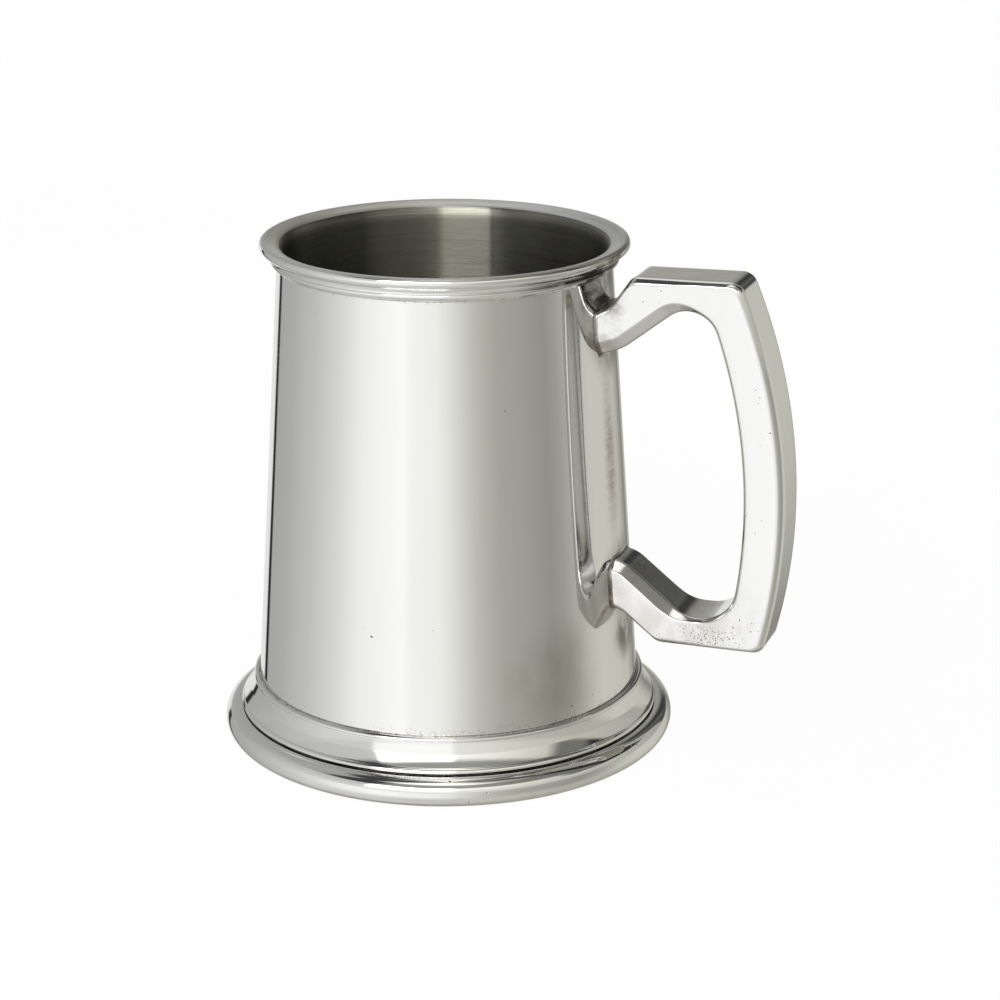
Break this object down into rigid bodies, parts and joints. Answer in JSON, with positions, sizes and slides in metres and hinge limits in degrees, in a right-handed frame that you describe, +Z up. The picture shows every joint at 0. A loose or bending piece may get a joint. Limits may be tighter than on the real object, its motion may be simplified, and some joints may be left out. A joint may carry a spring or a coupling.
{
  "type": "tankard",
  "caption": "Tapered metal drinking tankard with a flared rim, a stepped half-round foot and an angular D-shaped handle.",
  "frame": {"origin": "centre of the circle that the foot stands on, on the axis of the barrel", "axes": "+Z up along the barrel, +X from the barrel towards the handle, which lies in the XZ plane"},
  "size_m": [0.1375, 0.108, 0.1202],
  "materials": {
    "polished_pewter": "gloss",
    "satin_pewter": "satin",
    "cast_pewter": "gloss",
    "solder": "satin"
  },
  "bodies": {
    "root": {"barrel": "polished_pewter", "lip_ring": "polished_pewter", "base_moulding": "polished_pewter", "foot_ring": "polished_pewter", "floor_disc": "satin_pewter", "handle": "cast_pewter", "rim_solder": "solder", "base_solder": "solder", "foot_solder": "solder", "floor_solder": "solder", "handle_solder_upper": "solder", "handle_solder_lower": "solder"}
  },
  "joints": []
}
